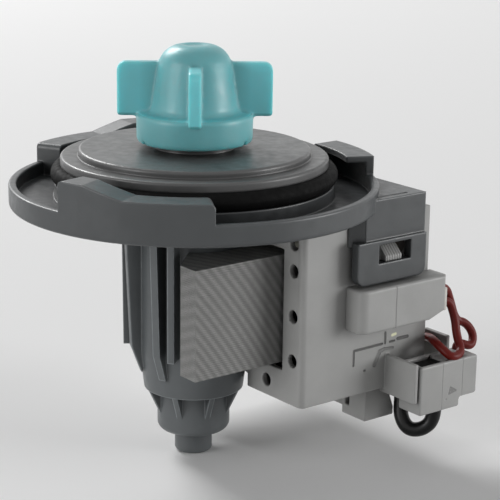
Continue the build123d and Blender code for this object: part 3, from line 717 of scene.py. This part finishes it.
class PUMP_OT_rotor(bpy.types.Operator):
    """Shaft, magnet and spool, bearings, washers and driving dog"""

    bl_idname = "pump.rotor"
    bl_label = "Rotor and bearings"

    def execute(self, context):
        clothe("shaft", metal("shaft_steel", (0.55, 0.55, 0.56), 0.2, (1.0, 1.0, 12.0)))
        clothe("rotor_magnet", metal("magnet_ferrite", (0.05, 0.05, 0.055), 0.5, (1.0, 1.0, 6.0)))
        spool = moulded("spool_plastic", (0.03, 0.03, 0.033), 0.5)
        bronze = metal("bearing_bronze", (0.42, 0.27, 0.11), 0.42)
        washer = moulded("washer_plastic", (0.62, 0.58, 0.46), 0.3)
        clothe("rotor_core", spool)
        clothe("drive_dog", spool)
        clothe("front_bearing", bronze)
        clothe("rear_bearing", bronze)
        clothe("thrust_washer_front", washer)
        clothe("thrust_washer_rear", washer)
        return {"FINISHED"}


class PUMP_OT_core(bpy.types.Operator):
    """Laminated core and its rivets"""

    bl_idname = "pump.core"
    bl_label = "Laminated core"

    def execute(self, context):
        low, high = (corner.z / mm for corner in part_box("stator_core"))
        near_tip_x, far_tip_x, yoke_end_x = -15.95, -4.0, 44.0
        bore_r = 13.0
        window_x, window_half_y = 33.0, 9.6
        outline = [(near_tip_x, -core_half_y), (yoke_end_x, -core_half_y), (yoke_end_x, core_half_y)]
        outline.append((far_tip_x, core_half_y))
        outline += arc(bore_r, 107.9, 47.6, 14)
        outline += [(window_x, window_half_y), (window_x, -window_half_y)]
        outline += arc(bore_r, -47.6, -132.0, 18)
        outline.append((near_tip_x, -17.0))
        groove_depth = 0.06
        groove_share = 0.18
        groove = inset(outline, groove_depth)
        count = round((high - low) * mm / sizes().sheet)
        sheet = (high - low) / count
        layers = []
        for index in range(count):
            base = low + index * sheet
            layers += [(groove, base), (outline, base + groove_share * sheet)]
            layers.append((outline, base + (1 - groove_share) * sheet))
        layers.append((groove, high))
        steel = sheet_steel("core_sheets", (0.205, 0.205, 0.200))
        core = new_piece("core_stack", stacked(layers), "housing", "lamination_steel", steel)
        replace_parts(smooth(core, 20.0), "stator_core")
        clothe("stator_core", steel)
        clothe("core_rivets", metal("rivet_steel", (0.4, 0.4, 0.4), 0.3))
        return {"FINISHED"}


class PUMP_OT_coils(bpy.types.Operator):
    """Bobbins and their windings"""

    bl_idname = "pump.coils"
    bl_label = "Coils"

    def execute(self, context):
        nylon = moulded("bobbin_plastic", (0.55, 0.54, 0.47), 0.4)
        clothe("bobbin_left", nylon)
        clothe("bobbin_right", nylon)
        wire = wound_copper("enamelled_copper", (0.42, 0.13, 0.04))
        for name, node in (("left_turns", "winding_left"), ("right_turns", "winding_right")):
            clothe(node, wire)
            low, high = (Vector(corner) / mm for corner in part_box(node))
            turns = coil_turns(low, high, sizes().turn / mm)
            coil = new_piece(name, turns, "housing", "winding_copper", wire)
            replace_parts(smooth(coil, 50.0), node)
        return {"FINISHED"}


class PUMP_OT_housing(bpy.types.Operator):
    """White coil housing and the cover over its terminals"""

    bl_idname = "pump.housing"
    bl_label = "Coil housing"

    def execute(self, context):
        # Painted shade: the slits and the dot are darkened as shade inside grooves, the curl as the shadow
        # beside a rib, and the wedge's lines as shade between its ribs; the cover's seam is a dark joint.
        groove_shade_tint = shaded(colours().housing, 0.34)
        seam_and_shade_tint = shaded(colours().housing, 0.6)
        # Painted shade: the wall behind the latch window is darkened as the shade of an opening there.
        window_shade_tint = (0.035, 0.027, 0.022)
        glint_tint = (0.80, 0.80, 0.55)
        slits = [
            (22.35, -35.3, 22.35, -32.0, 0.26), (22.4, -31.85, 30.9, -31.75, 0.24),
            (31.75, -29.3, 31.8, -31.7, 0.3), (33.2, -31.7, 34.7, -31.7, 0.22),
            (35.6, -31.4, 38.7, -31.4, 0.36), (25.6, -37.2, 25.9, -37.2, 0.2),
        ]
        curl = [
            (28.8, -36.3, 29.7, -34.6, 0.5), (29.7, -34.6, 30.2, -33.5, 0.5),
            (30.2, -33.5, 31.6, -33.1, 0.4), (31.6, -33.1, 34.2, -33.3, 0.3),
        ]
        glint = [(34.0, -30.2, 35.0, -30.1, 0.35)]
        ribs = [(28.7 + 0.74 * index, -11.0, 28.7 + 0.74 * index, -6.5, 0.1) for index in range(7)]
        latch_window_shade = [(26.4, -9.0, 34.8, -9.0, 2.0)]
        side = (30.2, 31.0)
        marks = [
            (latch_window_shade, (30.2, 30.9), window_shade_tint, 0.0), (curl, side, seam_and_shade_tint, 0.25),
            (slits, side, groove_shade_tint, 0.3), (glint, side, glint_tint, 0.0),
            (ribs, (31.0, 34.0), seam_and_shade_tint, 0.15),
        ]
        white = moulded(
            "housing_plastic", colours().housing, 0.48,
            marks=marks, edge=0.5, edge_light=1.12, recess=(4.0, 0.45, False),
        )
        soften(clothe("coil_housing", white), sizes().edge_round)
        seam = [(29.6, -15.5, 29.6, -27.0, 0.08)]
        cover_white = moulded(
            "cover_plastic", colours().housing, 0.46,
            marks=[(seam, (36.0, 37.0), seam_and_shade_tint, 0.12)], edge=0.6, edge_light=1.12, recess=(3.0, 0.45, False),
        )
        clothe("terminal_cover", cover_white)
        lip = [(44.7, -36.1), (45.7, -35.9), (45.7, -35.1), (44.7, -35.1)]
        # Painted highlight: the lip is much paler than the housing white, as its lit edge.
        lip_highlight_white = moulded("cover_lip_painted_highlight", (0.62, 0.60, 0.56), 0.46)
        strip = stacked([(lip, -24.9), (lip, -19.5)])
        soften(new_piece("cover_lip", strip, "housing", "white_plastic", lip_highlight_white), 0.25 * mm)
        clothe("terminal_pins", metal("tab_brass", (0.6, 0.47, 0.2), 0.3))
        clothe("thermal_cutout", moulded("cutout_shell", (0.02, 0.02, 0.02), 0.3))
        return {"FINISHED"}


class PUMP_OT_plug(bpy.types.Operator):
    """White plug, a black block in its pocket as painted shade, and its contacts"""

    bl_idname = "pump.plug"
    bl_label = "Plug"

    def execute(self, context):
        arrow = [
            (42.9, -41.8, 42.5, -43.2, 0.25), (42.9, -41.8, 44.6, -42.8, 0.25),
            (42.5, -43.2, 44.6, -42.8, 0.25), (43.0, -42.4, 43.6, -42.7, 0.4),
        ]
        steps = [
            (40.3, -34.0, 40.3, -48.0, 0.1), (46.6, -34.0, 46.6, -46.0, 0.1),
            (41.6, -44.4, 41.7, -44.4, 0.25),
        ]
        face = (40.8, 42.0)
        marks = [
            (arrow, face, shaded(colours().housing, 0.6), 0.15),
            (steps, face, shaded(colours().housing, 0.82), 0.08),
        ]
        white = moulded(
            "plug_plastic", colours().housing, 0.42,
            marks=marks, edge=0.5, edge_light=1.12, recess=(3.0, 0.4, False),
        )
        soften(clothe("plug_housing", white), plug_round_ratio * sizes().edge_round)
        # Painted shade: a black block fills the plug's pocket so that the pocket reads dark.
        black = rubbery("pocket_shade_black", deep_black, 0.5)
        pocket = [(34.9, -39.7), (42.3, -39.7), (42.3, -35.1), (34.9, -35.1)]
        filling = stacked([(pocket, -41.5), (pocket, -36.1)])
        shade_block = new_piece("pocket_shade_block", filling, "housing", "seal_rubber", black)
        soften(shade_block, sizes().edge_round)
        clothe("plug_contacts", metal("contact_tin", (0.6, 0.55, 0.4), 0.25))
        return {"FINISHED"}


# The leads' routes, in metres, and how much thicker the black one is than the red ones
red_coil_route = [
    (0.0450, -0.0332, -0.0236), (0.0482, -0.0337, -0.0228), (0.0492, -0.0352, -0.0276),
    (0.0486, -0.0366, -0.0316), (0.0478, -0.0394, -0.0346), (0.0436, -0.0405, -0.0350),
    (0.0428, -0.0378, -0.0332), (0.0430, -0.0350, -0.0322), (0.0454, -0.0314, -0.0328),
    (0.0463, -0.0286, -0.0334), (0.0426, -0.0259, -0.0330), (0.0375, -0.0257, -0.0324),
    (0.0330, -0.0257, -0.0324),
]
red_plug_route = [
    (0.0450, -0.0339, -0.0202), (0.0476, -0.0332, -0.0200), (0.0502, -0.0324, -0.0244),
    (0.0515, -0.0330, -0.0292), (0.0542, -0.0338, -0.0300), (0.0556, -0.0352, -0.0328),
    (0.0536, -0.0366, -0.0352), (0.0509, -0.0355, -0.0339), (0.0500, -0.0352, -0.0346),
    (0.0500, -0.0352, -0.0354),
]
black_route = [
    (0.0384, -0.0296, -0.0426), (0.0384, -0.0296, -0.0465), (0.0372, -0.0308, -0.0506),
    (0.0378, -0.0330, -0.0534), (0.0400, -0.0356, -0.0530), (0.0418, -0.0372, -0.0504),
    (0.0418, -0.0372, -0.0469),
]
black_lead_ratio = 1.7


class PUMP_OT_leads(bpy.types.Operator):
    """Two red leads and the black lead"""

    bl_idname = "pump.leads"
    bl_label = "Leads"

    def execute(self, context):
        red = moulded("red_insulation", colours().red, 0.4, specular=0.2)
        black = moulded("black_insulation", deep_black, 0.35, specular=0.3)
        radius = sizes().lead
        black_radius = black_lead_ratio * radius
        coil_lead = lead("red_lead_to_coil", "red_coil_lead", red_coil_route, radius, red, "red_insulation")
        lead("red_lead_to_plug", "red_plug_lead", red_plug_route, radius, red, "red_insulation")
        lead("black_lead_to_plug", "black_lead", black_route, black_radius, black, "black_insulation")
        return {"FINISHED"}


class PUMP_OT_impeller(bpy.types.Operator):
    """Teal impeller and the cover of its hollow"""

    bl_idname = "pump.impeller"
    bl_label = "Impeller"

    def paint_vane_glow(self, tree):
        """The vanes are painted lighter than the dome: a painted glow for the light that shines through the
        thin vanes.
        """
        base = tree.nodes["Principled BSDF"].inputs["Base Color"].links[0].from_socket
        across = vector_sum(tree, "MULTIPLY", coordinates(tree), (mm_per_metre, mm_per_metre, 0.0))
        radius = vector_sum(tree, "LENGTH", across, output="Value")
        outside_dome = ramp(tree, radius, dome_edge_r, glow_full_r)
        z = split(tree, coordinates(tree))[2]
        above_skirt = arithmetic(tree, "GREATER_THAN", z, skirt_top_z * mm)
        share = arithmetic(tree, "MULTIPLY", outside_dome, above_skirt)
        plug_in(tree, "Base Color", blend_colours(tree, share, base, shaded(colours().impeller, 1.35)))

    def execute(self, context):
        teal = moulded("impeller_plastic", colours().impeller, 0.36, clear=0.8)
        self.paint_vane_glow(teal.node_tree)
        moulding = new_piece("impeller_moulding", impeller_moulding(), "impeller", "teal_plastic", teal)
        melt(moulding, sizes().impeller_cell, rounds=12)
        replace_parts(moulding, "impeller")
        clothe("impeller", teal)
        clothe("impeller_hub_cover", teal)
        return {"FINISHED"}


# Stage

# Each lamp's place and side in metres, and its power in watts
lamps = (
    ("right_lamp", (1.86, -1.92, 0.36), 1.35, 46.0),
    ("left_lamp", (-2.43, 0.36, 0.68), 1.35, 26.5),
    ("back_lamp", (0.15, 2.40, 1.68), 1.20, 62.0),
)
floor_half = 3.0
floor_paint = (0.88, 0.88, 0.88, 1.0)
# The world lights the object at the first strength, and the camera and reflections see both together
world_strength = 0.18
backdrop_strength = 0.71
# The photo's camera as fitted: its place in metres, its directions, and its focal length and frame in pixels
camera_place = (-0.2198, -0.3026, 0.0905)
camera_right = (0.7907, -0.6121, 0.0133)
camera_ahead = (0.593, 0.761, -0.263)
focal_pixels = 1700
frame_pixels = 500


def lamp(name, place, size, power):
    """A square soft lamp that faces the middle of the frame and isn't seen itself."""
    data = bpy.data.lights.new(name, "AREA")
    data.shape = "SQUARE"
    data.size = size
    data.energy = power
    lamp_object = bpy.data.objects.new(name, data)
    bpy.context.scene.collection.objects.link(lamp_object)
    lamp_object.location = place
    lamp_object.rotation_mode = "QUATERNION"
    lamp_object.rotation_quaternion = (-Vector(place)).to_track_quat("-Z", "Y")
    lamp_object.visible_camera = False
    return lamp_object


class PUMP_OT_stage(bpy.types.Operator):
    """Pale floor, soft lamps, world and camera"""

    bl_idname = "pump.stage"
    bl_label = "Stage"

    def lay_floor(self, scene):
        """A plain pale floor under the lowest solid."""
        grid = bmesh.new()
        bmesh.ops.create_grid(grid, x_segments=1, y_segments=1, size=floor_half)
        data = bpy.data.meshes.new("floor")
        grid.to_mesh(data)
        grid.free()
        floor = bpy.data.objects.new("floor", data)
        floor.location = (0, 0, cad_box[0].z)
        scene.collection.objects.link(floor)
        pale = finish_shader("floor_paint", 0.8, specular=0.1)
        pale.node_tree.nodes["Principled BSDF"].inputs["Base Color"].default_value = floor_paint
        data.materials.append(pale)

    def light_world(self, scene):
        """A dim white world that looks pale behind the object and in its reflections."""
        world = bpy.data.worlds.new("studio")
        world.use_nodes = True
        scene.world = world
        tree = world.node_tree
        background = tree.nodes["Background"]
        path = add(tree, "ShaderNodeLightPath")
        seen = arithmetic(tree, "MAXIMUM", path.outputs["Is Camera Ray"], path.outputs["Is Glossy Ray"])
        seen = arithmetic(tree, "MAXIMUM", seen, path.outputs["Is Transmission Ray"])
        backdrop = arithmetic(tree, "MULTIPLY", seen, backdrop_strength)
        strength = arithmetic(tree, "ADD", backdrop, world_strength)
        tree.links.new(strength, background.inputs["Strength"])
        background.inputs["Color"].default_value = (1.0, 1.0, 1.0, 1.0)

    def place_camera(self, scene):
        """The camera at the photo's angle."""
        data = bpy.data.cameras.new("camera")
        camera = bpy.data.objects.new("camera", data)
        scene.collection.objects.link(camera)
        right = Vector(camera_right).normalized()
        ahead = Vector(camera_ahead).normalized()
        above = right.cross(ahead).normalized()
        turn = Matrix((right, above, -ahead)).transposed()
        camera.matrix_world = Matrix.Translation(camera_place) @ turn.to_4x4()
        data.lens = focal_pixels / frame_pixels * data.sensor_width
        data.clip_start = 0.01
        data.clip_end = 20.0
        scene.camera = camera

    def execute(self, context):
        scene = context.scene
        self.lay_floor(scene)
        for name, place, size, power in lamps:
            lamp(name, place, size, power)
        self.light_world(scene)
        self.place_camera(scene)
        scene.view_settings.view_transform = "Standard"
        return {"FINISHED"}


class PUMP_PT_panel(bpy.types.Panel):
    """The pump's operators, sizes and colours in the sidebar"""

    bl_idname = "PUMP_PT_panel"
    bl_label = "Drain Pump"
    bl_space_type = "VIEW_3D"
    bl_region_type = "UI"
    bl_category = "Drain Pump"

    def draw(self, context):
        layout = self.layout
        for operator in piece_operators:
            layout.operator(operator.bl_idname)
        for group in (context.scene.pump_sizes, context.scene.pump_colours):
            for key in group.__annotations__:
                layout.prop(group, key)


piece_operators = (
    PUMP_OT_stage,
    PUMP_OT_leads,
    PUMP_OT_flange,
    PUMP_OT_can,
    PUMP_OT_seals,
    PUMP_OT_rotor,
    PUMP_OT_core,
    PUMP_OT_coils,
    PUMP_OT_housing,
    PUMP_OT_plug,
    PUMP_OT_impeller,
)
classes = (PumpSizes, PumpColours, *piece_operators, PUMP_PT_panel)


def register():
    """Adds the classes and the scene's settings."""
    for cls in classes:
        bpy.utils.register_class(cls)
    bpy.types.Scene.pump_sizes = bpy.props.PointerProperty(type=PumpSizes)
    bpy.types.Scene.pump_colours = bpy.props.PointerProperty(type=PumpColours)


def unregister():
    """Takes the classes and the scene's settings away."""
    del bpy.types.Scene.pump_colours
    del bpy.types.Scene.pump_sizes
    for cls in reversed(classes):
        bpy.utils.unregister_class(cls)


def main():
    """Dresses the pump piece by piece."""
    register()
    bpy.ops.pump.stage()
    bpy.ops.pump.leads()
    bpy.ops.pump.flange()
    bpy.ops.pump.can()
    bpy.ops.pump.seals()
    bpy.ops.pump.rotor()
    bpy.ops.pump.core()
    bpy.ops.pump.coils()
    bpy.ops.pump.housing()
    bpy.ops.pump.plug()
    bpy.ops.pump.impeller()


if __name__ == "__main__":
    main()
